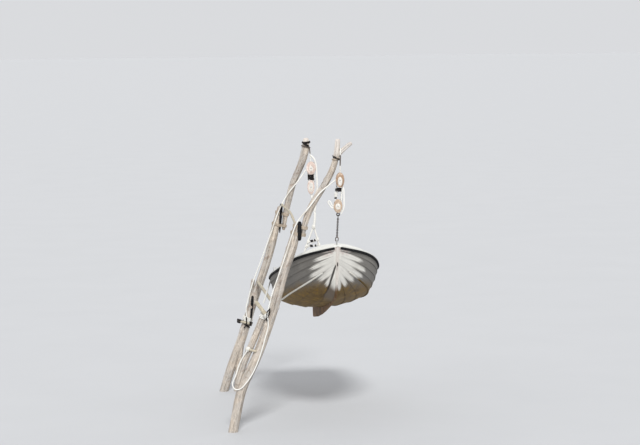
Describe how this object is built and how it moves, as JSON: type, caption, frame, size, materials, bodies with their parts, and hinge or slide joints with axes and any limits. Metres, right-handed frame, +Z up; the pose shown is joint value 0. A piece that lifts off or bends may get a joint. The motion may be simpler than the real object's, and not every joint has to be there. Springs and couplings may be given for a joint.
{
  "type": "clinker skiff on pole davits",
  "caption": "Small clinker-planked rowing skiff slung bow-up by rope tackles from a pair of raked davits made of natural tree poles.",
  "frame": {"origin": "centre of the near post at the ground, where its straight foot enters the ground", "axes": "+Z up, +X out over the water, +Y from the near davit at the bow to the far davit at the stern"},
  "size_m": [2.7021, 3.8545, 4.7207],
  "materials": {
    "hull_paint": "satin",
    "white_paint": "satin",
    "keel_paint": "matte",
    "black_rubber": "matte",
    "bench_wood": "satin",
    "board_wood": "matte",
    "galvanised": "matte",
    "dark_iron": "matte",
    "pole_wood": "matte",
    "stick_wood": "matte",
    "rope": "matte",
    "block_wood": "matte",
    "block_paint": "matte",
    "sheave": "matte"
  },
  "bodies": {
    "davits": {"bilge_rails": "white_paint", "bow_chain": "dark_iron", "bow_eye": "galvanised", "bow_ring": "galvanised", "far_becket": "galvanised", "far_brace": "pole_wood", "far_cleat": "stick_wood", "far_lashing": "rope", "far_lower_shell": "block_paint", "far_pins": "galvanised", "far_post": "pole_wood", "far_prop": "pole_wood", "far_rope": "rope", "far_spar": "pole_wood", "far_strop": "rope", "far_upper_shell": "block_paint", "far_wedge": "black_rubber", "floor_boards": "board_wood", "foredeck": "white_paint", "gunwale_cap": "white_paint", "hull": "hull_paint", "keel": "keel_paint", "lower_spreader": "stick_wood", "near_becket": "galvanised", "near_cleats": "stick_wood", "near_doubler": "pole_wood", "near_hook": "dark_iron", "near_lashing": "rope", "near_lower_shell": "block_paint", "near_pins": "galvanised", "near_post": "pole_wood", "near_rope": "rope", "near_spar": "pole_wood", "near_strop": "rope", "near_upper_shell": "block_wood", "near_wedge": "black_rubber", "rowlock_sockets": "galvanised", "rub_rail": "black_rubber", "stern_bridle": "rope", "stern_rings": "galvanised", "thwarts": "bench_wood", "upper_spreader": "stick_wood"},
    "far_lower_sheave_body": {"far_lower_sheave": "sheave"},
    "far_upper_sheave_back_body": {"far_upper_sheave_back": "sheave"},
    "far_upper_sheave_front_body": {"far_upper_sheave_front": "sheave"},
    "near_lower_sheave_body": {"near_lower_sheave": "sheave"},
    "near_upper_sheave_back_body": {"near_upper_sheave_back": "sheave"},
    "near_upper_sheave_front_body": {"near_upper_sheave_front": "sheave"}
  },
  "joints": [
    {"name": "far_lower_sheave_turn", "type": "hinge", "parent": "davits", "child": "far_lower_sheave_body", "pos_m": [1.164, 3.57, 3.333], "axis": [0, 1, 0], "continuous": true},
    {"name": "far_upper_sheave_back_turn", "type": "hinge", "parent": "davits", "child": "far_upper_sheave_back_body", "pos_m": [1.168, 3.593, 3.642], "axis": [0, 1, 0], "continuous": true},
    {"name": "far_upper_sheave_front_turn", "type": "hinge", "parent": "davits", "child": "far_upper_sheave_front_body", "pos_m": [1.168, 3.547, 3.642], "axis": [0, 1, 0], "continuous": true},
    {"name": "near_lower_sheave_turn", "type": "hinge", "parent": "davits", "child": "near_lower_sheave_body", "pos_m": [1.567, 0, 3.292], "axis": [0, 1, 0], "continuous": true},
    {"name": "near_upper_sheave_back_turn", "type": "hinge", "parent": "davits", "child": "near_upper_sheave_back_body", "pos_m": [1.6, 0.023, 3.669], "axis": [0, 1, 0], "continuous": true},
    {"name": "near_upper_sheave_front_turn", "type": "hinge", "parent": "davits", "child": "near_upper_sheave_front_body", "pos_m": [1.6, -0.023, 3.669], "axis": [0, 1, 0], "continuous": true}
  ]
}
